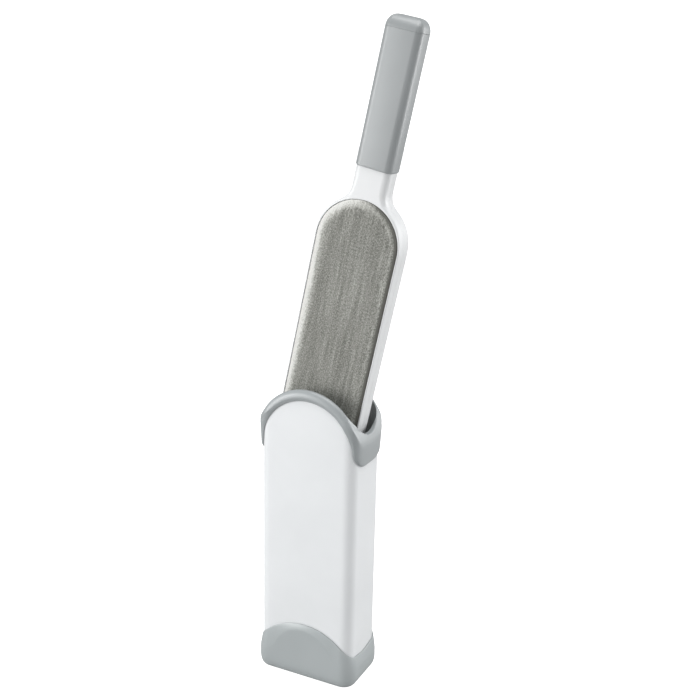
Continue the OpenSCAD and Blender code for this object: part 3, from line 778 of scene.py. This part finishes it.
grip_plastic = moulded_plastic("grip_grey_plastic", GRIP_GREY, GRIP_SHADE, GREY_ROUGH, COARSE_GRAIN,
                               GRAIN_DEPTH, GREY_SHINE)
arc = np.linspace(0, math.pi / 2, 5)
tube_in = [GRIP_WALL, GRIP_WALL, GROOVE + 0.05, GROOVE, *(GRIP_EDGE * (1 - np.sin(arc))), 0, 0, 0, 0.15,
           GRIP_WALL, GRIP_WALL]
tube_z = [GRIP_Z0 + 2, GRIP_Z0, GRIP_Z0, GRIP_Z0 + GROOVE_H,
          *(GRIP_Z0 + GROOVE_H + GRIP_EDGE * (1 - np.cos(arc))), GRIP_Z0 + 30, GRIP_Z0 + 60,
          GRIP_Z0 + GRIP_L - 0.15, GRIP_Z0 + GRIP_L, GRIP_Z0 + GRIP_L, GRIP_Z0 + GRIP_L - 2]
tube = grip_ring(tube_in, tube_z)
place_piece(build_mesh("grip_tube", tube, True), grip_plastic, "brush", ["grip"])

dome = np.linspace(0, math.pi / 2, 12)
cap_in = [TO_MIDDLE, PLUG_IN, PLUG_IN, 0.15, *(CAP_ROUND * (1 - np.cos(dome))), TO_MIDDLE]
cap_up = [-PLUG_DEEP, -PLUG_DEEP, 0.02, 0.02, *(0.2 + (CAP_H - 0.2) * np.sin(dome)), CAP_H]
cap = grip_ring(cap_in, GRIP_Z0 + GRIP_L + np.array(cap_up))
place_piece(build_mesh("grip_end_plug", cap, False), grip_plastic, "brush", ["grip_end_cap"])

# ---------------------------------------------------------------------------
# Studio: a plain pale floor, soft lights on both sides and above, and the
# camera that looks down on the base from its front right.
# ---------------------------------------------------------------------------
FLOOR_HALF, PAPER, SKY, BACKDROP = 6.0, 0.5, 0.41, 1.5
AIM_Z = 0.22
floor_mesh = bpy.data.meshes.new("studio_floor")
corners = [(-1, -1), (1, -1), (1, 1), (-1, 1)]
floor_mesh.from_pydata([(FLOOR_HALF * x, FLOOR_HALF * y, 0) for x, y in corners], [], [(0, 1, 2, 3)])
floor = bpy.data.objects.new("studio_floor", floor_mesh)
bpy.context.scene.collection.objects.link(floor)
floor_paint = bpy.data.materials.new("studio_floor_paper")
floor_paint.use_nodes = True
paper = floor_paint.node_tree.nodes["Principled BSDF"]
paper.inputs["Base Color"].default_value = (PAPER, PAPER, PAPER, 1)
paper.inputs["Roughness"].default_value = 1.0
paper.inputs["Specular IOR Level"].default_value = 0.0
paper.inputs["Emission Color"].default_value = (1, 1, 1, 1)
glow = floor_paint.node_tree.nodes.new("ShaderNodeLightPath")
floor_paint.node_tree.links.new(glow.outputs["Is Camera Ray"], paper.inputs["Emission Strength"])
floor_mesh.materials.append(floor_paint)

sky = bpy.data.worlds.new("studio_sky")
bpy.context.scene.world = sky
sky.use_nodes = True
sky_nodes, sky_links = sky.node_tree.nodes, sky.node_tree.links
soft_sky = sky_nodes["Background"]
soft_sky.inputs["Color"].default_value = (0.98, 0.99, 1.0, 1)
soft_sky.inputs["Strength"].default_value = SKY
backdrop = sky_nodes.new("ShaderNodeBackground")
backdrop.inputs["Color"].default_value = (1, 1, 1, 1)
backdrop.inputs["Strength"].default_value = BACKDROP
seen = sky_nodes.new("ShaderNodeLightPath")
blend = sky_nodes.new("ShaderNodeMixShader")
sky_links.new(seen.outputs["Is Camera Ray"], blend.inputs["Fac"])
sky_links.new(soft_sky.outputs["Background"], blend.inputs[1])
sky_links.new(backdrop.outputs["Background"], blend.inputs[2])
sky_links.new(blend.outputs["Shader"], sky_nodes["World Output"].inputs["Surface"])


def set_up(name, data, right, up, back, at):
    """Stands a lamp or the camera at a point, its own three axes along the given directions."""
    thing = bpy.data.objects.new(name, data)
    place = np.eye(4)
    place[:3] = np.stack([right, up, back, at], 1)
    thing.matrix_world = Matrix(place.tolist())
    bpy.context.scene.collection.objects.link(thing)
    return thing


def soft_box(name, azimuth, height, distance, size, power):
    """A square soft light at a compass angle round the object and a height, aimed at its middle."""
    light = bpy.data.lights.new(name, "AREA")
    light.shape, light.size, light.energy = "SQUARE", size, power
    a = math.radians(azimuth)
    at = np.array([distance * math.sin(a), -distance * math.cos(a), height])
    aim = np.array([0.0, 0.0, AIM_Z]) - at
    back_dir = -aim / np.linalg.norm(aim)
    side_dir = np.cross([0, 0, 1], back_dir)
    side_dir = side_dir / np.linalg.norm(side_dir)
    set_up(name, light, side_dir, np.cross(back_dir, side_dir), back_dir, at)


soft_box("front_left_softbox", -44, 0.28, 1.25, 0.9, 13.8)
soft_box("right_softbox", 128, 0.4, 1.3, 0.9, 11.3)
soft_box("overhead_softbox", 40, 1.9, 0.45, 1.4, 23)

YAW, PITCH, ROLL = 26.1, 15.07, 1.27
LENS, RANGE = 51.43, 816.5
ACROSS, DOWN = -0.03237, 0.3113
a, p, r = (math.radians(v) for v in (YAW, PITCH, ROLL))
ahead = np.array([-math.sin(a) * math.cos(p), math.cos(a) * math.cos(p), -math.sin(p)])
level_right = np.array([math.cos(a), math.sin(a), 0.0])
level_up = np.cross(level_right, ahead)
cam_right = math.cos(r) * level_right + math.sin(r) * level_up
cam_up = -math.sin(r) * level_right + math.cos(r) * level_up
stand = -RANGE * MM * (ACROSS * cam_right - DOWN * cam_up + ahead)
camera_data = bpy.data.cameras.new("studio_camera")
camera_data.sensor_width = 36.0
camera_data.lens = LENS
camera_data.clip_start, camera_data.clip_end = 0.01, 50
camera = set_up("studio_camera", camera_data, cam_right, cam_up, -ahead, stand)
bpy.context.scene.camera = camera
bpy.context.scene.view_settings.view_transform = "Standard"
